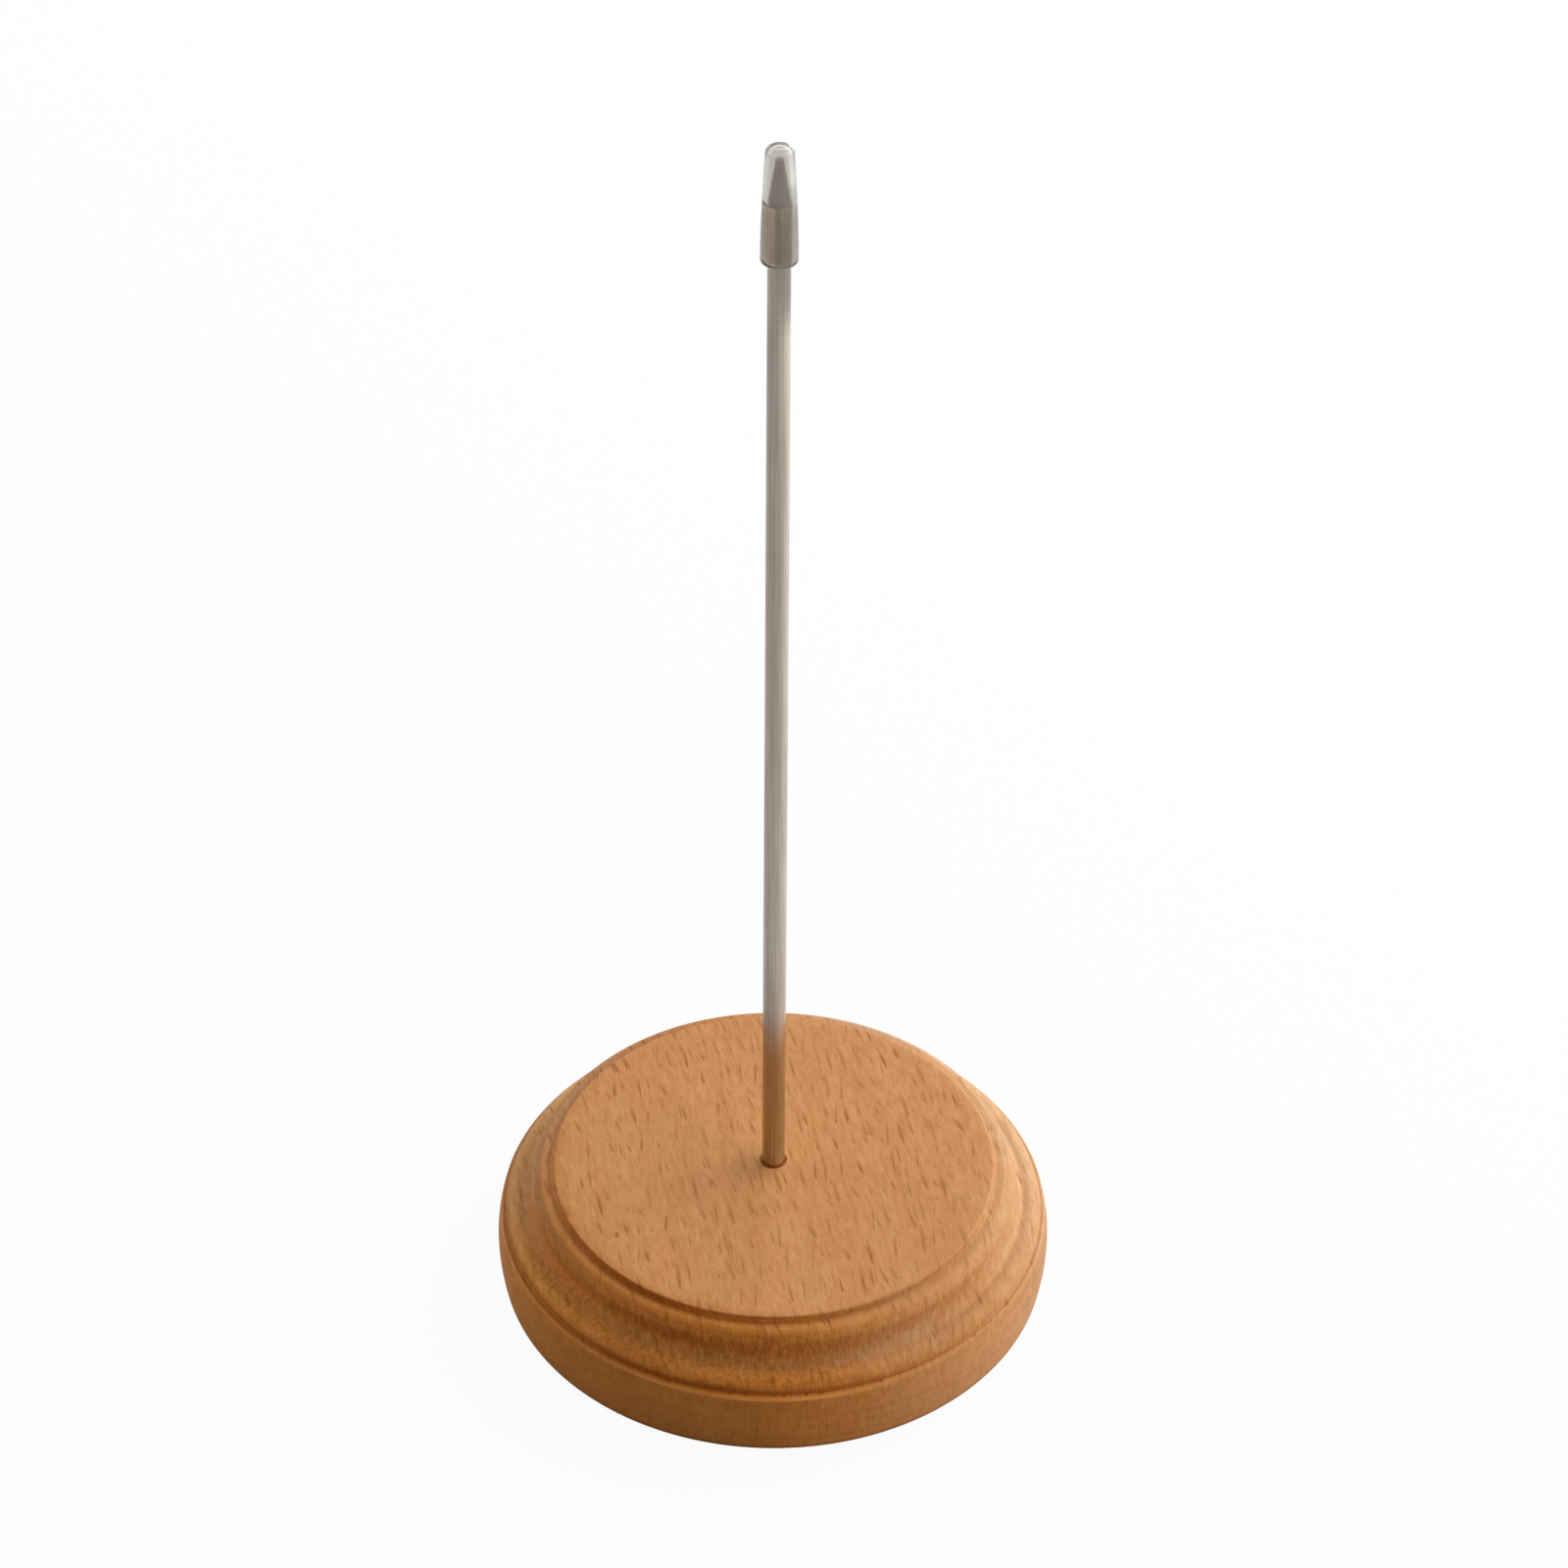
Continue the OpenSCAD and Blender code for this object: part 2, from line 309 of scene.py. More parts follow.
class Graph(Nodes):
    """A material's nodes. place is the shaded point in the part's frame, in metres."""

    def __init__(self, name):
        self.material = bpy.data.materials.new(name)
        self.material.use_nodes = True
        super().__init__(self.material.node_tree)
        self.shader = self.tree.nodes["Principled BSDF"]
        self.place = self.add("ShaderNodeTexCoord").outputs["Object"]

    def vector(self, operation, a, b):
        return self.add("ShaderNodeVectorMath", {0: a, 1: b}, operation=operation).outputs[0]

    def dot(self, a, b):
        return self.add("ShaderNodeVectorMath", {0: a, 1: b}, operation="DOT_PRODUCT").outputs["Value"]

    def parts(self, vector):
        return self.add("ShaderNodeSeparateXYZ", {0: vector}).outputs

    def from_axis(self):
        """Distance from the spike's axis."""
        flat = self.vector("MULTIPLY", self.place, (1.0, 1.0, 0.0))
        return self.add("ShaderNodeVectorMath", {0: flat}, operation="LENGTH").outputs["Value"]

    def scaled(self, vector, steps):
        """Coordinates in metres turned into units of the given steps, in millimetres."""
        return self.vector("MULTIPLY", vector, tuple(1 / (s * MM) for s in steps))

    def noise(self, vector, steps, detail=2.0, roughness=0.5, distortion=0.0):
        """Noise whose cells have the given steps, in millimetres."""
        inputs = {"Vector": self.scaled(vector, steps), "Scale": 1.0, "Detail": detail}
        inputs.update({"Roughness": roughness, "Distortion": distortion})
        return self.add("ShaderNodeTexNoise", inputs).outputs[0]

    def span(self, value, low, high, to_low=0.0, to_high=1.0):
        """Smooth change from to_low to to_high while the value goes from low to high."""
        inputs = {"Value": value, "From Min": low, "From Max": high}
        inputs.update({"To Min": to_low, "To Max": to_high})
        return self.add("ShaderNodeMapRange", inputs, interpolation_type="SMOOTHSTEP").outputs[0]

    def fall(self, value, low, high):
        """1 up to low, and 0 from high on."""
        return self.span(value, low, high, 1.0, 0.0)

    def between(self, value, low, high, soft):
        """1 between low and high, fading out over soft on each side."""
        return self.times(self.span(value, low - soft, low), self.fall(value, high, high + soft))

    def towards(self, x, y, low, high):
        """Mask that rises towards one side of the part, from low to high in millimetres."""
        return self.span(self.dot(self.place, (x, y, 0.0)), low * MM, high * MM)

    def spindles(self, along, cell, length, width, left_out):
        """Mask of soft spindles along X, one to a cell and a share left out; sizes in millimetres."""
        at = self.scaled(along, cell)
        cell_inputs = {"Vector": at, "Scale": 1.0, "Randomness": SPINDLE_SCATTER}
        cells = self.add("ShaderNodeTexVoronoi", cell_inputs).outputs
        lot = self.add("ShaderNodeSeparateColor", {0: cells["Color"]}).outputs
        away = self.vector("MULTIPLY", self.vector("SUBTRACT", at, cells["Position"]), cell)
        away_along, away_across, _ = self.parts(away)
        lean = self.times(self.math("SUBTRACT", lot[1], lot[2]), SPINDLE_LEAN)
        leant = self.math("ADD", away_across, self.times(away_along, lean))
        du = self.math("DIVIDE", away_along, self.span(lot[1], 0.0, 1.0, *length))
        dv = self.math("DIVIDE", leant, self.span(lot[2], 0.0, 1.0, *width))
        reach = self.math("ADD", self.times(du, du), self.math("ABSOLUTE", dv))
        shape = self.times(self.fall(reach, 0.1, 1.0), self.span(du, -1.0, 0.8, 0.45, 1.0))
        return self.times(shape, self.span(lot[0], left_out, 1.0))

    def mix(self, factor, a, b, blend="MIX"):
        node = self.add("ShaderNodeMix", data_type="RGBA", blend_type=blend)
        self.put(node.inputs[0], factor)
        self.put(node.inputs[6], a)
        self.put(node.inputs[7], b)
        return node.outputs[2]

    def tint(self, colour, by, *masks):
        """The colour multiplied by another, as far as all the masks reach."""
        return self.mix(self.times(*masks), colour, (*by, 1.0), "MULTIPLY")

    def bump(self, height, strength, distance):
        inputs = {"Height": height, "Strength": strength, "Distance": distance}
        return self.add("ShaderNodeBump", inputs).outputs[0]

    def set(self, **values):
        """Sets the shader's sockets, whose names have _ for a space."""
        for key, value in values.items():
            self.put(self.shader.inputs[key.replace("_", " ")], value)
        return self.material


def rgb(r, g, b):
    """A colour written as eight-bit sRGB, in the linear values that shaders take."""
    def linear(v):
        v /= 255
        return v / 12.92 if v <= 0.04045 else ((v + 0.055) / 1.055) ** 2.4
    return (linear(r), linear(g), linear(b), 1.0)


# Materials

class Beech(Graph):
    """Beech as a solid texture, with the masks that its layers share."""

    def __init__(self):
        super().__init__("beech")
        self.x, self.y, self.z = self.parts(self.place)
        self.radius = self.from_axis()
        self.add_grain()
        self.add_zones()
        self.lines = self.times(self.fall(self.turning, 0.35, 0.65),
                                self.span(self.band, 0.0, 1.0, 0.06, 0.14), self.moulded)
        self.coarse = self.times(self.between(self.z, BEAD_Z - 0.6 * MM, LEDGE_Z - 0.9 * MM, 0.8 * MM),
                                 self.span(self.shade_side, 0.4, 0.8))

    def add_grain(self):
        """Flecks, fibres and clouds, and how far a face lies across the grain."""
        turn = {"Vector": self.place, "Angle": -GRAIN_TURN}
        turned = self.add("ShaderNodeVectorRotate", turn, rotation_type="Z_AXIS").outputs[0]
        wave = self.math("SUBTRACT", self.noise(self.place, (26, 26, 26), detail=1.0), 0.5)
        sway = self.add("ShaderNodeCombineXYZ", {1: self.times(wave, GRAIN_SWAY)}).outputs[0]
        along = self.vector("ADD", turned, sway)
        self.broad = self.spindles(along, (6.4, 2.2, 3.4), (2.2, 4.4), (0.32, 0.62), left_out=0.05)
        self.small = self.spindles(along, (4.2, 1.5, 2.4), (1.1, 2.4), (0.19, 0.36), left_out=0.1)
        self.thin = self.spindles(along, (6.4, 3.0, 2.6), (1.2, 3.0), (0.17, 0.3), left_out=0.42)
        self.pale = self.spindles(along, (5.2, 1.9, 2.8), (1.3, 3.0), (0.22, 0.46), left_out=0.2)
        self.fibre = self.noise(along, (4.0, 0.4, 1.6), detail=3.0, roughness=0.6)
        self.mottle = self.noise(along, (2.8, 1.0, 1.5), detail=3.0, roughness=0.6)
        self.streak = self.noise(along, (60.0, 7.0, 9.0))
        self.cloud = self.noise(self.place, (13.0, 13.0, 8.0))
        self.turning = self.noise(self.place, (16.0, 16.0, 0.8), detail=3.0)
        self.grit = self.noise(self.place, (0.7, 0.7, 1.8), roughness=0.6)
        normal = self.add("ShaderNodeNewGeometry").outputs["Normal"]
        end_axis = (math.cos(GRAIN_TURN), math.sin(GRAIN_TURN), 0.0)
        side_axis = (-end_axis[1], end_axis[0], 0.0)
        self.end_grain = self.span(self.math("ABSOLUTE", self.dot(normal, end_axis)), 0.3, 0.95)
        self.side_grain = self.span(self.math("ABSOLUTE", self.dot(normal, side_axis)), 0.3, 0.9)

    def add_zones(self):
        """Sides of the base that carry painted light and shade, and the parts below the top disc."""
        # Masks for painted light and shade: the shaded side lies at the front left, the lit side at
        # the right
        self.shade_side = self.towards(-0.47, -0.883, 14.0, 40.0)
        self.lit_side = self.towards(0.82, 0.57, 4.0, 42.0)
        self.far_end = self.towards(-math.cos(GRAIN_TURN), -math.sin(GRAIN_TURN), 26.0, 42.0)
        self.left = self.towards(-1.0, 0.0, 22.0, 36.0)
        self.front = self.towards(0.0, -1.0, 24.0, 38.0)
        self.back = self.towards(-0.42, 0.91, 10.0, 28.0)
        self.front_left_shade = self.towards(-0.643, -0.766, 29.5, 37.0)
        self.deep_shade = self.towards(-0.743, -0.669, 30.0, 35.5)
        self.rubbed = self.span(self.mottle, 0.3, 0.6, 0.7, 1.0)
        self.moulded = self.fall(self.z, BASE_TOP - 0.6 * MM, BASE_TOP - 0.15 * MM)
        self.band = self.fall(self.z, BAND_TOP - 1.0 * MM, BAND_TOP)

    def plain_wood(self):
        """Streaks and clouds, hatching on the end grain, and the ray flecks."""
        colour = self.mix(self.span(self.streak, 0.3, 0.7), rgb(197, 139, 87), rgb(204, 148, 95))
        colour = self.mix(self.span(self.cloud, 0.35, 0.75, 0.0, 0.5), colour, rgb(203, 139, 90))
        colour = self.mix(self.times(self.pale, 0.5), colour, rgb(219, 164, 108))
        colour = self.mix(self.span(self.mottle, 0.3, 0.7, 0.5, 0.0), colour, rgb(180, 119, 63))
        hatch = self.times(self.span(self.end_grain, 0.0, 1.0, 0.2, 0.65),
                           self.span(self.band, 0.0, 1.0, 1.0, 0.1), self.fall(self.fibre, 0.32, 0.68))
        colour = self.mix(hatch, colour, rgb(164, 103, 50))
        strong = self.span(self.cloud, 0.35, 0.65, 0.6, 1.0)
        on_side = self.span(self.side_grain, 0.0, 1.0, 1.0, 0.4)
        flecks = (
            (self.small, 0.65, 0.3, rgb(150, 90, 36)),
            (self.broad, 1.0, 0.15, rgb(142, 82, 28)),
            (self.thin, 0.9, 0.4, rgb(108, 58, 18)),
        )
        for fleck, on_face, on_end, tone in flecks:
            weight = self.times(self.span(self.end_grain, 0.0, 1.0, on_face, on_end), strong, on_side)
            colour = self.mix(self.times(fleck, weight), colour, tone)
        return colour

    def moulding_shade_and_lines(self, colour):
        """Moulding: painted shade as a warmer colour at the front left, painted light as a paler
        colour on the right, browner at the grain's far end; turning lines.
        """
        # Painted shade on the shaded side and painted light on the lit side of the moulding
        colour = self.tint(colour, (1.15, 0.87, 0.42), self.moulded, self.shade_side)
        colour = self.tint(colour, (0.95, 1.2, 1.65), self.moulded, self.lit_side)
        colour = self.tint(colour, (1.05, 0.88, 0.6), self.moulded, self.far_end)
        # Painted shade on the band, at the front left and on the lit side
        colour = self.tint(colour, (0.89, 0.92, 0.95), self.band, self.shade_side)
        colour = self.tint(colour, (0.93, 0.92, 0.82), self.band, self.front_left_shade)
        colour = self.tint(colour, (0.8, 0.76, 0.7), self.band, self.lit_side)
        return self.mix(self.lines, colour, rgb(128, 76, 30))

    def with_step(self, colour):
        """Rim of the disc, its broken edge, the step and the ledge, with painted light and shade on
        each.
        """
        # Painted shade on the rim's shaded side, painted light on its lit side
        rim = self.times(self.span(self.radius, DISC_R - 2.4 * MM, DISC_R - 0.4 * MM),
                         self.math("SUBTRACT", 1.0, self.moulded))
        shaded = self.towards(-0.8, -0.6, 14.0, 30.0)
        colour = self.tint(colour, (0.9, 0.82, 0.68), rim, shaded)
        colour = self.tint(colour, (1.05, 1.12, 1.22), rim, self.lit_side)
        # Painted shade on the broken edge: warmer on the shaded side, darker at the front left, on the
        # lit side and at the back
        edge = self.between(self.z, BASE_TOP - 0.4 * MM, BASE_TOP - 0.06 * MM, 0.05 * MM)
        colour = self.tint(colour, (1.08, 0.88, 0.6), edge, self.shade_side)
        colour = self.tint(colour, (0.84, 0.72, 0.42), edge, self.deep_shade)
        colour = self.tint(colour, (0.78, 0.82, 0.86), edge, self.lit_side)
        colour = self.tint(colour, (0.84, 0.8, 0.74), edge, self.back)
        # Painted light and shade on the step: warmer on the shaded side, lighter to the left, darkest
        # at the front left, duller on the lit side
        riser = self.between(self.z, LEDGE_Z + 0.1 * MM, BASE_TOP - 0.45 * MM, 0.1 * MM)
        colour = self.tint(colour, (1.25, 1.15, 0.55), riser, self.shade_side)
        colour = self.tint(colour, (1.15, 1.12, 1.1), riser, self.left)
        colour = self.tint(colour, (0.68, 0.6, 0.38), riser, self.deep_shade)
        colour = self.tint(colour, (0.78, 0.76, 0.76), riser, self.lit_side)
        # Painted light on the ledge to the left and on the lit side, painted shade on it at the back
        # and on the shaded side
        ledge = self.between(self.z, LEDGE_Z - 0.1 * MM, LEDGE_Z + 0.1 * MM, 0.1 * MM)
        colour = self.tint(colour, (1.1, 1.1, 1.06), ledge, self.left)
        colour = self.tint(colour, (1.24, 1.24, 1.2), ledge, self.lit_side)
        colour = self.tint(colour, (0.82, 0.88, 1.1), ledge, self.back)
        return self.tint(colour, (0.8, 0.84, 0.88), ledge, self.shade_side)

    def with_hollow(self, colour):
        """Upper moulding and hollow: painted light on the crown, painted shade in the waist, fuzzy end
        grain with a painted sheen, and coarse grain.
        """
        # Painted light on the crown at the front and front right, painted shade on it to the left
        crown = self.between(self.z, LEDGE_Z - 1.4 * MM, LEDGE_Z - 0.2 * MM, 0.3 * MM)
        colour = self.tint(colour, (1.06, 1.04, 0.92), crown, self.front)
        colour = self.tint(colour, (0.86, 0.87, 0.78), crown, self.left)
        colour = self.tint(colour, (1.1, 1.12, 1.16), crown, self.towards(0.574, -0.819, 32.0, 37.0))
        # Painted shade on the upper moulding's lit side
        upper = self.between(self.z, BEAD_Z + 0.7 * MM, LEDGE_Z - 0.3 * MM, 0.3 * MM)
        colour = self.tint(colour, (0.89, 0.88, 0.86), upper, self.lit_side)
        # Painted shade in the waist of the hollow, patchy, on the shaded side
        waist = self.between(self.z, COVE_Z - 0.6 * MM, COVE_Z + 0.4 * MM, 1.1 * MM)
        colour = self.tint(colour, (0.82, 0.78, 0.62), waist, self.rubbed, self.front_left_shade)
        colour = self.tint(colour, (0.93, 0.87, 0.64), waist, self.rubbed, self.shade_side)
        # Greyish fuzzy end grain at the front, partly a painted sheen
        torn_sheen = self.between(self.z, BEAD_Z + 0.4 * MM, BEAD_Z + 0.9 * MM, 0.9 * MM)
        fibrous = self.span(self.mottle, 0.3, 0.7, 0.5, 1.0)
        colour = self.tint(colour, (1.06, 1.3, 1.85), torn_sheen, self.front, fibrous)
        # Painted light at the foot of the hollow on the lit side
        nape = self.between(self.z, BEAD_Z - 0.25 * MM, BEAD_Z + 0.25 * MM, 0.35 * MM)
        colour = self.tint(colour, (1.1, 1.12, 1.12), nape, self.lit_side)
        colour = self.tint(colour, (0.84, 0.8, 0.72), self.coarse, self.span(self.grit, 0.48, 0.64))
        return self.tint(colour, (1.1, 1.1, 1.08), self.coarse, self.fall(self.grit, 0.36, 0.5))

    def with_bead(self, colour):
        """Lower moulding, painted shade in the corner under it, and the shelf."""
        # Painted light on the bead on the shaded side, and on its top to the left
        bead = self.between(self.z, BEAD_Z - 1.1 * MM, BEAD_Z - 0.2 * MM, 0.4 * MM)
        colour = self.tint(colour, (1.1, 1.14, 1.15), bead, self.shade_side)
        bead_top = self.between(self.z, BEAD_Z - 0.6 * MM, BEAD_Z + 0.1 * MM, 0.2 * MM)
        colour = self.tint(colour, (1.14, 1.3, 1.35), bead_top, self.left)
        # Painted shade under the bead at the front left
        under = self.between(self.z, QUIRK_Z + 0.4 * MM, QUIRK_Z + 1.0 * MM, 0.3 * MM)
        colour = self.tint(colour, (0.88, 0.82, 0.66), under, self.deep_shade)
        # Painted shade in the quirk's crease, stronger on the shaded side; painted light in it on the
        # lit side
        quirk = self.between(self.z, QUIRK_Z + 0.05 * MM, QUIRK_Z + 0.7 * MM, 0.15 * MM)
        crease_shade = self.times(quirk, self.rubbed, self.span(self.shade_side, 0.0, 0.8, 0.08, 0.24))
        colour = self.mix(crease_shade, colour, rgb(96, 48, 8))
        colour = self.tint(colour, (1.16, 1.18, 1.2), quirk, self.rubbed, self.lit_side)
        # Painted shade in the corner at the front left, lifted with painted light towards the front
        # middle
        corner = self.between(self.z, QUIRK_Z, QUIRK_Z + 0.6 * MM, 0.4 * MM)
        colour = self.tint(colour, (0.94, 0.88, 0.65), corner, self.front_left_shade)
        corner_lift = self.times(self.span(self.x, -12.0 * MM, 4.0 * MM), self.fall(self.lit_side, 0.0, 0.5))
        colour = self.tint(colour, (1.12, 1.1, 1.06), corner, corner_lift)
        # Painted shade on the shelf at the front, painted light on it to the left
        shelf = self.times(self.between(self.z, QUIRK_Z - 0.1 * MM, QUIRK_Z + 0.1 * MM, 0.05 * MM),
                           self.fall(self.radius, SHELF_R - 0.3 * MM, SHELF_R - 0.15 * MM))
        colour = self.tint(colour, (0.78, 0.66, 0.42), shelf, self.front)
        return self.tint(colour, (1.2, 1.35, 1.4), shelf, self.left)

    def with_highlight_finish_shade(self, colour):
        """Painted highlight on the band's upper edge, finish in the hole and painted shade along the
        foot.
        """
        # Painted highlight along the band's upper edge, strongest at the front
        edge_highlight = self.times(
            self.between(self.z, BAND_TOP - 0.35 * MM, BAND_TOP + 0.15 * MM, 0.12 * MM),
            self.span(self.cloud, 0.3, 0.65, 0.5, 1.0),
            self.span(self.y, -38.0 * MM, 0.0, 0.95, 0.3),
            self.span(self.x, 12.0 * MM, 36.0 * MM, 1.0, 0.1),
            self.span(self.x, -36.0 * MM, -14.0 * MM, 0.25, 1.0))
        colour = self.mix(edge_highlight, colour, self.mix(self.shade_side, rgb(232, 176, 112), rgb(246, 162, 84)))
        well = self.fall(self.radius, HOLE_R + 0.02 * MM, HOLE_R + 0.2 * MM)
        colour = self.mix(well, colour, rgb(176, 102, 36))
        # Painted shade along the foot's edge
        foot = self.span(self.z, BASE_Z + 0.2 * MM, BASE_Z + 1.1 * MM, 0.5, 0.0)
        return self.mix(foot, colour, rgb(92, 58, 26))

    def relief(self):
        """Fibres, pitted flecks, turning lines and the rough hollow."""
        pits = self.math("ADD", self.times(self.broad, 0.3), self.times(self.thin, 0.7))
        height = self.math("ADD", self.math("SUBTRACT", self.fibre, pits), self.times(self.lines, 1.5))
        return self.math("SUBTRACT", height, self.times(self.coarse, self.grit, 0.5))


def beech():
    g = Beech()
    colour = g.moulding_shade_and_lines(g.plain_wood())
    colour = g.with_bead(g.with_hollow(g.with_step(colour)))
    g.set(Base_Color=g.with_highlight_finish_shade(colour), Roughness=g.span(g.fibre, 0.25, 0.75, 0.6, 0.5))
    return g.set(Specular_IOR_Level=0.1, Normal=g.bump(g.relief(), 0.35, 0.06 * MM))


def drawn_steel():
    """Satin drawn wire: fine lines along the spike, grinding rings round its point."""
    g = Graph("drawn_steel")
    x, _, z = g.parts(g.place)
    draw_lines = g.noise(g.place, (0.22, 0.22, 24.0), detail=3.0, roughness=0.6)
    grind_rings = g.noise(g.place, (2.0, 2.0, 0.16))
    dull = g.noise(g.place, (3.0, 3.0, 14.0))
    ground = g.span(z, SHOULDER_Z - SHOULDER_EASE, SHOULDER_Z + SHOULDER_EASE)
    drawn = g.math("SUBTRACT", 1.0, ground)
    line = g.math("ADD", g.times(draw_lines, drawn), g.times(grind_rings, ground))
    colour = g.mix(g.span(dull, 0.3, 0.7), rgb(184, 173, 160), rgb(197, 187, 175))
    colour = g.mix(g.span(line, 0.38, 0.62, 0.42, 0.0), colour, rgb(148, 134, 120))
    colour = g.mix(ground, colour, rgb(158, 146, 135))

    # Painted light: paler under the cap, to make up for the light the cap takes
    capped = g.between(z, MOUTH_Z, SHOULDER_Z - SHOULDER_EASE, 0.3 * MM)
    colour = g.tint(colour, (1.29, 1.26, 1.21), capped)
    # Painted reflection above the wood: brighter on the right, yellower and darker on the left
    low_reflection = g.fall(z, BASE_TOP + 4.0 * MM, BASE_TOP + 24.0 * MM)
    colour = g.tint(colour, (1.1, 1.28, 1.25), low_reflection, g.span(x, -0.2 * MM, 1.1 * MM))
    colour = g.tint(colour, (0.94, 0.94, 0.74), low_reflection, g.fall(x, -1.3 * MM, 0.0))
    # Painted reflection higher up the spike: brighter on the right, darker on the left
    below_cap = g.fall(z, MOUTH_Z - 12.0 * MM, MOUTH_Z - 4.5 * MM)
    mid_reflection = g.times(below_cap, g.span(z, BASE_TOP + 10.0 * MM, BASE_TOP + 28.0 * MM))
    colour = g.tint(colour, (1.4, 1.4, 1.38), mid_reflection, g.span(x, 0.3 * MM, 1.6 * MM))
    colour = g.tint(colour, (0.87, 0.87, 0.87), mid_reflection, g.fall(x, -1.4 * MM, 0.6 * MM))
    # Painted shadow on the right just below the cap
    cap_shadow = g.math("SUBTRACT", g.fall(z, MOUTH_Z - 0.3 * MM, MOUTH_Z), below_cap)
    colour = g.tint(colour, (0.74, 0.74, 0.74), cap_shadow, g.span(x, -0.3 * MM, 0.9 * MM))

    # Finish from the wood on the steel inside the hole
    waxed = g.fall(z, BASE_TOP, BASE_TOP + 0.12 * MM)
    colour = g.mix(waxed, colour, rgb(178, 104, 40))
    rough = g.math("ADD", g.span(line, 0.2, 0.8, 0.2, 0.14), g.span(dull, 0.3, 0.7, 0.0, 0.05))
    g.set(Base_Color=colour, Roughness=rough, Metallic=g.math("SUBTRACT", 1.0, waxed))
    return g.set(Normal=g.bump(line, 0.12, 0.02 * MM))


def clear_plastic():
    """Clear soft plastic with a grey haze, fine handling marks and painted shade on the wall on the
    right.
    """
    g = Graph("clear_plastic")
    x, _, z = g.parts(g.place)
    haze = g.noise(g.place, (1.6, 1.6, 3.0), detail=3.0)
    marks = g.noise(g.place, (0.3, 0.3, 2.0))
    colour = g.mix(haze, (0.70, 0.68, 0.63, 1.0), (0.80, 0.78, 0.73, 1.0))
    outside = g.span(g.from_axis(), 1.85 * MM, 2.0 * MM)
    gripped = g.fall(z, SHOULDER_Z - 1.0 * MM, SHOULDER_Z + 0.6 * MM)
    colour = g.tint(colour, (0.8, 0.78, 0.755), outside, gripped)
    # Painted shade on the right wall of the cap
    right_wall_shade = g.span(x, 0.9 * MM, 1.7 * MM)
    walled = g.fall(z, SHOULDER_Z + 0.5 * MM, SHOULDER_Z + 4.0 * MM)
    colour = g.tint(colour, (0.64, 0.63, 0.62), outside, right_wall_shade, walled)
    rubbed = g.span(z, CAP_TOP - 2.6 * MM, CAP_TOP - 0.9 * MM, 0.0, 0.12)
    rough = g.math("ADD", g.span(haze, 0.25, 0.8, 0.1, 0.2), rubbed)
    g.set(Transmission_Weight=0.94, IOR=1.49)
    return g.set(Base_Color=colour, Roughness=rough, Normal=g.bump(marks, 0.08, 0.02 * MM))


def felt():
    """Pressed wool felt: matted fibres, paler swirls and a soft sheen."""
    g = Graph("felt")
    swirl = g.noise(g.place, (2.6, 2.6, 2.6), detail=3.0, roughness=0.6, distortion=1.5)
    fibre = g.noise(g.place, (0.7, 0.7, 0.7), detail=4.0, roughness=0.65, distortion=2.5)
    patch = g.noise(g.place, (11.0, 11.0, 11.0), detail=3.0)
    colour = g.mix(g.span(fibre, 0.3, 0.7), rgb(14, 44, 30), rgb(46, 94, 66))
    colour = g.mix(g.span(patch, 0.3, 0.7, 0.0, 0.55), colour, rgb(20, 52, 40))
    colour = g.mix(g.span(swirl, 0.52, 0.72, 0.0, 0.5), colour, rgb(66, 110, 84))
    rough = g.span(fibre, 0.2, 0.8, 0.98, 0.86)
    g.set(Sheen_Weight=0.2, Sheen_Roughness=0.6, Specular_IOR_Level=0.1)
    return g.set(Base_Color=colour, Roughness=rough, Normal=g.bump(fibre, 0.7, 0.15 * MM))


def zinc_steel():
    """Bright zinc plating with a faint spangle."""
    g = Graph("zinc_steel")
    spangle = g.noise(g.place, (1.2, 1.2, 1.2), detail=3.0)
    fine = g.noise(g.place, (0.2, 0.2, 0.2))
    colour = g.mix(g.span(spangle, 0.3, 0.7), rgb(186, 190, 196), rgb(208, 206, 198))
    rough = g.span(fine, 0.2, 0.8, 0.3, 0.42)
    g.set(Metallic=1.0)
    return g.set(Base_Color=colour, Roughness=rough, Normal=g.bump(fine, 0.1, 0.02 * MM))


def dress(piece, material):
    piece.data.materials.clear()
    piece.data.materials.append(material)


# Pieces

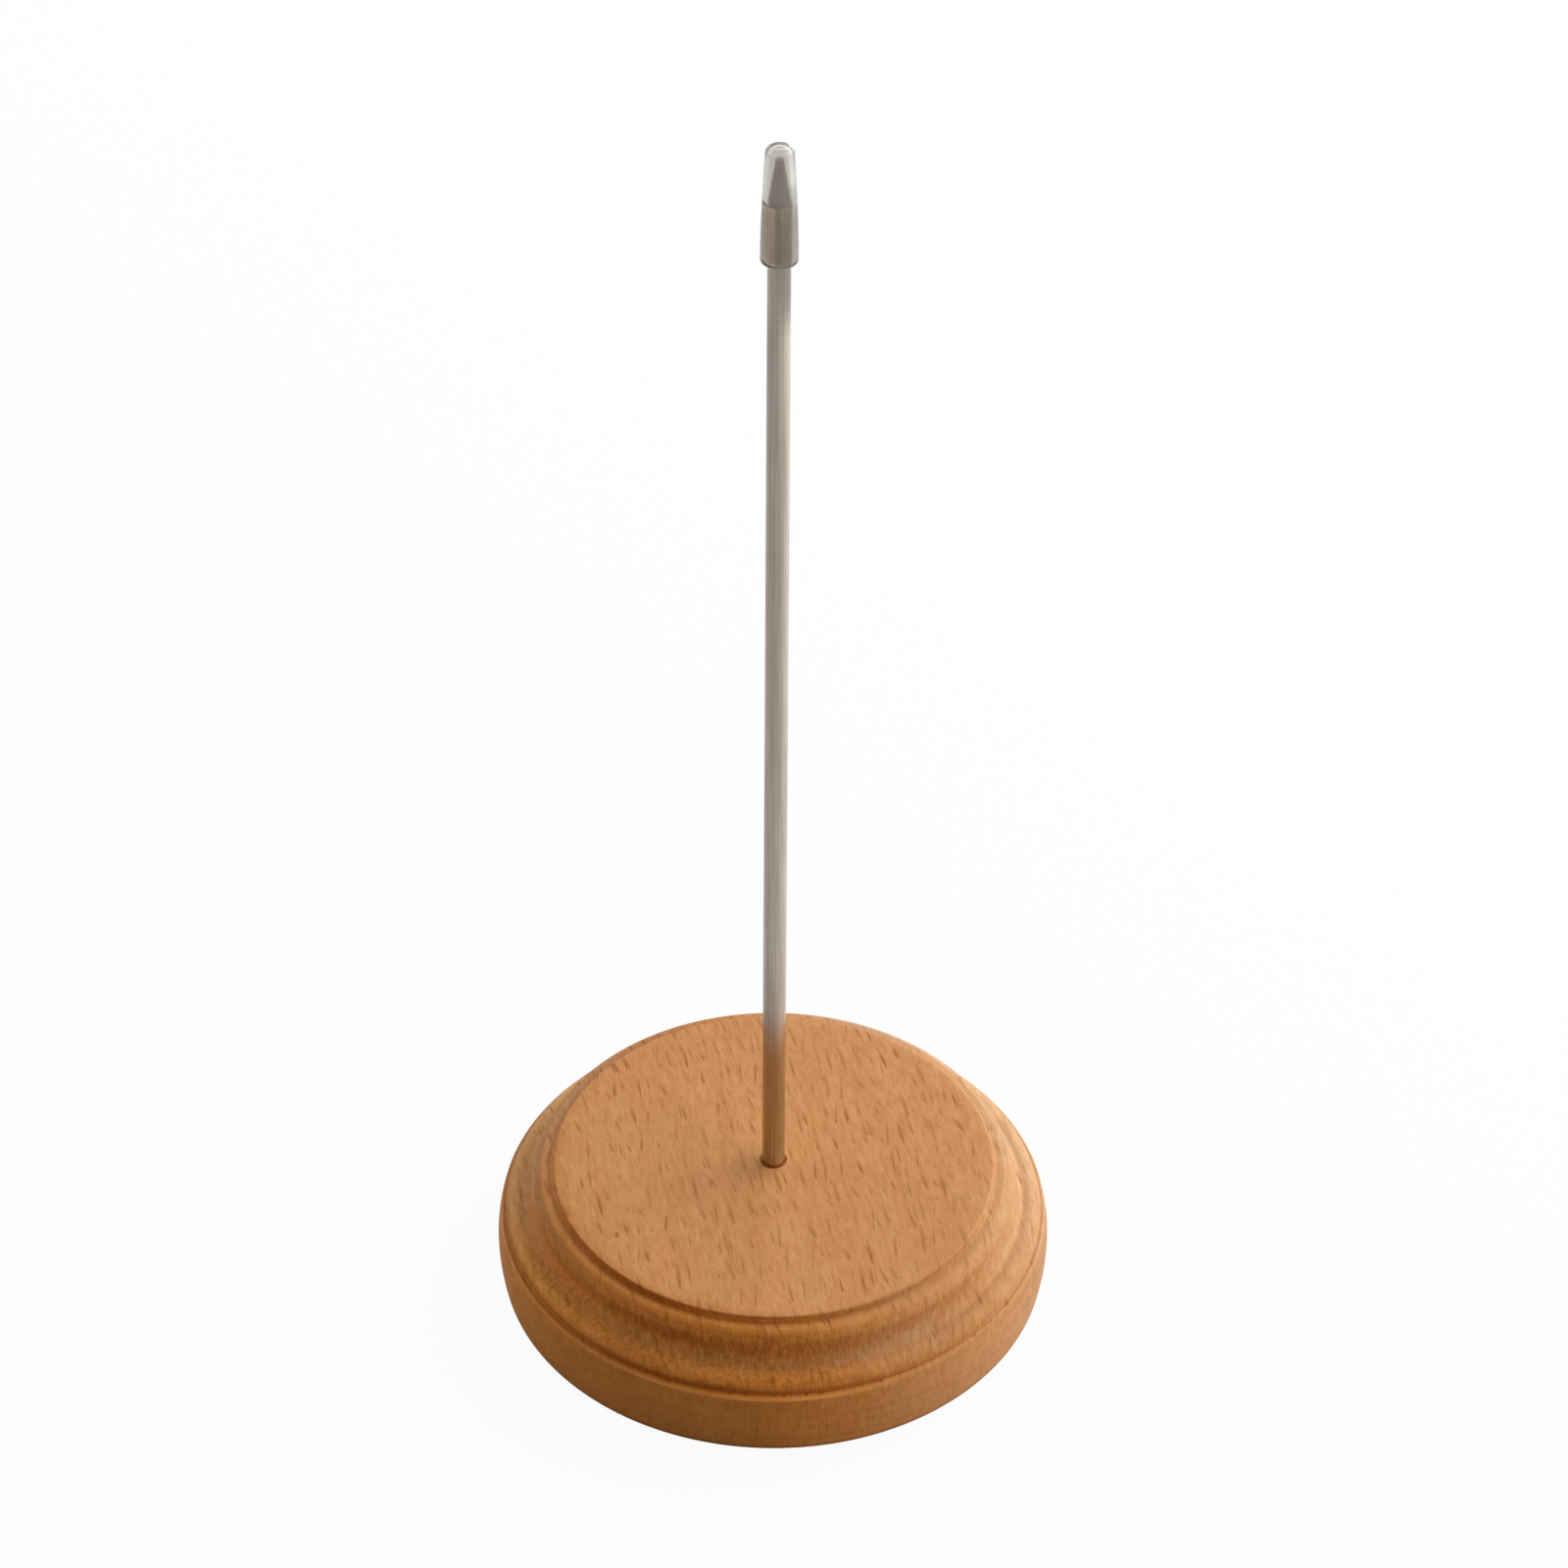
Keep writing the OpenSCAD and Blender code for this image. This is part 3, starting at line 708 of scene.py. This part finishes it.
def base_outline():
    """Outline of the turned base, from the hole's mouth over the top and round to the hole again."""
    points = [(HOLE_R + HOLE_BREAK, BASE_TOP), (DISC_R - DISC_EDGE, BASE_TOP)]
    points += arc_points(DISC_R - DISC_EDGE, BASE_TOP, DISC_EDGE, DISC_EDGE, "out_down")
    points.append((LEDGE_R - FILLET_INSET, LEDGE_Z + FILLET))
    points += arc_points(LEDGE_R - FILLET_INSET, LEDGE_Z + FILLET, FILLET, FILLET, "in_down")
    points.append((OVOLO_R, LEDGE_Z))
    points += arc_points(OVOLO_R, LEDGE_Z, OVOLO_W, OVOLO_H, "out_down")
    points += arc_points(COVE_R, COVE_Z, COVE_W, COVE_H, "in_down")
    points += arc_points(BEAD_R, BEAD_Z, BEAD_W, BEAD_H, "out_down")
    points.append((BEAD_OUT_R, QUIRK_Z + FILLET))
    points += arc_points(BEAD_OUT_R, QUIRK_Z + FILLET, FILLET, FILLET, "in_down")
    points.append((SHELF_R, QUIRK_Z))
    points += arc_points(SHELF_R, QUIRK_Z, BAND_EDGE, BAND_EDGE, "out_down")
    for i in range(1, ARC_STEPS + 1):
        k = 1 - i / ARC_STEPS
        points.append((BASE_R - BAND_DRAW * k * k, WIDEST_Z + BAND_CROWN * k))
    foot_z = BASE_Z + FOOT_ROUND
    for i in range(1, ARC_STEPS + 1):
        k = i / ARC_STEPS
        points.append((BASE_R - BAND_TAPER * k * k, WIDEST_Z - (WIDEST_Z - foot_z) * k))
    points += arc_points(BASE_R - BAND_TAPER, foot_z, FOOT_ROUND, FOOT_ROUND, "under")
    seat_z = BASE_Z + RECESS_L
    barrel_top = seat_z + BARREL_L
    points += [(RECESS_R, BASE_Z), (RECESS_R, seat_z), (BARREL_R, seat_z), (BARREL_R, barrel_top)]
    wax_z = BASE_TOP - WAX_DEPTH
    wax_foot = wax_z - WAX_T
    wax_r = FOOT_R + WAX_GAP
    points += [(HOLE_R, barrel_top), (HOLE_R, wax_foot), (wax_r, wax_foot), (wax_r, wax_z)]
    points += [(HOLE_R, wax_z), (HOLE_R, BASE_TOP - HOLE_BREAK)]
    return points


def make_base(material):
    outline = split_long(base_outline(), WOOD_STRETCH, closed=True)
    piece = lathe("turned_base", outline, True, WOOD_STEPS, SOFT_CREASE)
    dress(piece, material)
    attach(piece, "stand")
    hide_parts("base")


def taper_r(z):
    """Radius of the spike's long taper at a height."""
    return FOOT_R + (SHOULDER_R - FOOT_R) * (z - BASE_TOP) / (SHOULDER_Z - BASE_TOP)


def make_spike(material):
    thread_top = TAIL_Z + THREAD_L
    points = [(0, TAIL_Z), (THREAD_R - TAIL_CHAMFER, TAIL_Z), (THREAD_R, TAIL_Z + TAIL_CHAMFER)]
    points += [(THREAD_R, thread_top), (FOOT_R, thread_top + THREAD_R - FOOT_R), (FOOT_R, BASE_TOP)]
    points += [(SHOULDER_R, SHOULDER_Z), (TIP_R, TIP_Z - TIP_DOME)]
    points += dome_points(TIP_R, TIP_Z, TIP_DOME)
    outline = split_long(points, SPIKE_STRETCH, closed=False)
    piece = lathe("steel_spike", outline, False, ROD_STEPS, HARD_CREASE)
    dress(piece, material)
    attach(piece, "stand")
    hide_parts("spike")


def make_cap(material):
    flank_top = CAP_TOP - CAP_END_ROUND
    flank_foot = MOUTH_Z + CAP_MOUTH_ROUND
    bore_top = CAP_TOP - CAP_END_T
    mouth_bore = taper_r(MOUTH_Z) + CAP_GRIP
    points = [(0, CAP_TOP), (CAP_END_R - CAP_END_ROUND, CAP_TOP)]
    points += arc_points(CAP_END_R - CAP_END_ROUND, CAP_TOP, CAP_END_ROUND, CAP_END_ROUND, "out_down")
    for i in range(1, ARC_STEPS + 1):
        t = 1 - i / ARC_STEPS
        r = CAP_MOUTH_R - (CAP_MOUTH_R - CAP_END_R) * t ** CAP_DRAW
        points.append((r, flank_foot + (flank_top - flank_foot) * t))
    points += arc_points(CAP_MOUTH_R, flank_foot, CAP_MOUTH_ROUND, CAP_MOUTH_ROUND, "under")
    points += [(mouth_bore + CAP_LEAD, MOUTH_Z), (mouth_bore, MOUTH_Z + CAP_LEAD)]
    points.append((SHOULDER_R + CAP_GRIP, SHOULDER_Z - SHOULDER_EASE))
    points.append((SHOULDER_R + CAP_PLAY, SHOULDER_Z))
    points.append((CAP_END_BORE_R, bore_top - CAP_BORE_DOME))
    points += dome_points(CAP_END_BORE_R, bore_top, CAP_BORE_DOME)

    def seated(r, z, a):
        """Moves the gripping part of the bore aside."""
        if r < mouth_bore + 2 * CAP_LEAD and z < SHOULDER_Z:
            return r + CAP_ASIDE * math.cos(a), z
        return r, z

    outline = split_long(points, CAP_STRETCH, closed=False)
    piece = lathe("clear_cap", outline, False, ROD_STEPS, HARD_CREASE, seated)
    dress(piece, material)
    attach(piece, "cap")
    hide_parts("tip_cap")


def make_pad(material):
    """Felt disc with a cut, slightly furry edge."""
    def furry(r, z, a):
        if r < PAD_R - FUR_WIDTH:
            return r, z
        wobble = noise.noise(Vector((FUR_TUFTS * math.cos(a), FUR_TUFTS * math.sin(a), z / MM)))
        return r - FUR_DEPTH * (1 + wobble) * (r / PAD_R) ** FUR_DRAW, z

    points = [(0, PAD_TOP), (PAD_R - PAD_EDGE, PAD_TOP)]
    points += arc_points(PAD_R - PAD_EDGE, PAD_TOP, PAD_EDGE, PAD_EDGE, "out_down")
    points.append((PAD_R, PAD_Z + PAD_EDGE))
    points += arc_points(PAD_R, PAD_Z + PAD_EDGE, PAD_EDGE, PAD_EDGE, "under")
    points.append((0, PAD_Z))
    outline = split_long(points, PAD_STRETCH, closed=False)
    piece = lathe("felt_disc", outline, False, PAD_STEPS, SOFT_CREASE, furry)
    dress(piece, material)
    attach(piece, "stand")
    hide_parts("felt_pad")


# Stage, light and camera

def white_share(nodes, seen, mirrored):
    """Share of plain white for the rays that show a background: seen, or mirrored in a gloss."""
    path = nodes.add("ShaderNodeLightPath").outputs
    through = nodes.math("MAXIMUM", path["Is Glossy Ray"], path["Is Transmission Ray"])
    shown = nodes.math("MAXIMUM", path["Is Camera Ray"], through)
    bounced = nodes.math("MINIMUM", path["Glossy Depth"], 1.0)
    change = nodes.times(bounced, nodes.math("SUBTRACT", mirrored, seen))
    return nodes.times(shown, nodes.math("ADD", seen, change))


def floor_white():
    """Pale floor that looks white and keeps the shadow, and is dim in a gloss near the part."""
    material = bpy.data.materials.new("floor_white")
    material.use_nodes = True
    nodes = Nodes(material.node_tree)
    nodes.tree.nodes.clear()
    where = nodes.add("ShaderNodeNewGeometry").outputs["Position"]
    away = nodes.add("ShaderNodeVectorMath", {0: where}, operation="LENGTH").outputs["Value"]
    ramp = {"Value": away, "From Min": FLOOR_GLOSS_NEAR, "From Max": FLOOR_GLOSS_FAR}
    ramp.update({"To Min": FLOOR_GLOSS, "To Max": 1.0})
    gloss = nodes.add("ShaderNodeMapRange", ramp).outputs[0]
    share = white_share(nodes, FLOOR_GLOW, gloss)
    matt = nodes.add("ShaderNodeBsdfDiffuse", {"Color": FLOOR_GREY}).outputs[0]
    glow = nodes.add("ShaderNodeEmission", {"Color": WHITE, "Strength": 1.0}).outputs[0]
    blend = nodes.add("ShaderNodeMixShader", {0: share, 1: matt, 2: glow}).outputs[0]
    nodes.add("ShaderNodeOutputMaterial", {0: blend})
    return material


def make_floor():
    bm = bmesh.new()
    corners = ((-1, -1), (1, -1), (1, 1), (-1, 1))
    bm.faces.new([bm.verts.new((x * FLOOR_REACH, y * FLOOR_REACH, 0)) for x, y in corners])
    floor = make_object("floor", bm)
    dress(floor, floor_white())


def make_world():
    world = bpy.data.worlds.new("studio")
    bpy.context.scene.world = world
    world.use_nodes = True
    nodes = Nodes(world.node_tree)
    nodes.tree.nodes.clear()
    share = white_share(nodes, 1.0, 1.0)
    dim = nodes.add("ShaderNodeBackground", {"Color": WHITE, "Strength": AMBIENT}).outputs[0]
    bright = nodes.add("ShaderNodeBackground", {"Color": WHITE, "Strength": 1.0}).outputs[0]
    blend = nodes.add("ShaderNodeMixShader", {0: share, 1: dim, 2: bright}).outputs[0]
    nodes.add("ShaderNodeOutputWorld", {0: blend})


def make_lamp(name, place, size, watts):
    light = bpy.data.lights.new(name, "AREA")
    light.shape = "RECTANGLE"
    light.size, light.size_y = size
    light.energy = watts
    lamp = bpy.data.objects.new(name, light)
    lamp.visible_camera = False
    lamp.visible_transmission = False
    lamp.location = place
    lamp.rotation_euler = (Vector(LAMP_AIM) - Vector(place)).to_track_quat("-Z", "Y").to_euler()
    bpy.context.scene.collection.objects.link(lamp)


def make_camera():
    """Camera at the picture's angle, aimed so that the middle of the top disc falls on its pixel."""
    rise, reach = math.sin(CAMERA_ELEVATION), math.cos(CAMERA_ELEVATION)
    place = Vector((0, -CAMERA_DISTANCE * reach, CAMERA_DISTANCE * rise))
    u = [(p - PICTURE_PX / 2) / FOCAL_PX for p in DISC_CENTRE_PX]
    c, s = math.cos(CAMERA_ROLL), math.sin(CAMERA_ROLL)
    ux, uy = c * u[0] + s * u[1], -s * u[0] + c * u[1]
    yaw = math.asin(-ux / math.sqrt(ux * ux + uy * uy + 1) / reach)
    pitch = math.atan2(rise, math.cos(yaw) * reach) - math.atan(uy)
    heading = Vector((math.sin(yaw), math.cos(yaw), 0))
    forward = math.cos(pitch) * heading - Vector((0, 0, math.sin(pitch)))
    level = Vector((math.cos(yaw), -math.sin(yaw), 0))
    down = forward.cross(level)
    right = c * level - s * down
    up = -(s * level + c * down)
    lens = bpy.data.cameras.new("camera")
    lens.sensor_width = SENSOR_MM
    lens.lens = FOCAL_PX / PICTURE_PX * SENSOR_MM
    lens.clip_start = CAMERA_NEAR
    camera = bpy.data.objects.new("camera", lens)
    turn = Matrix((right, up, -forward)).transposed().to_4x4()
    camera.matrix_world = Matrix.Translation(place + Vector((0, 0, BASE_TOP))) @ turn
    bpy.context.scene.collection.objects.link(camera)
    bpy.context.scene.camera = camera


make_camera()
make_world()
make_floor()
for lamp in LAMPS:
    make_lamp(*lamp)

make_base(beech())
make_spike(drawn_steel())
make_cap(clear_plastic())
make_pad(felt())
plating = zinc_steel()
for name in ("tee_nut", "lock_nut"):
    dress(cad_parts[name], plating)

bpy.context.scene.view_settings.view_transform = "Standard"
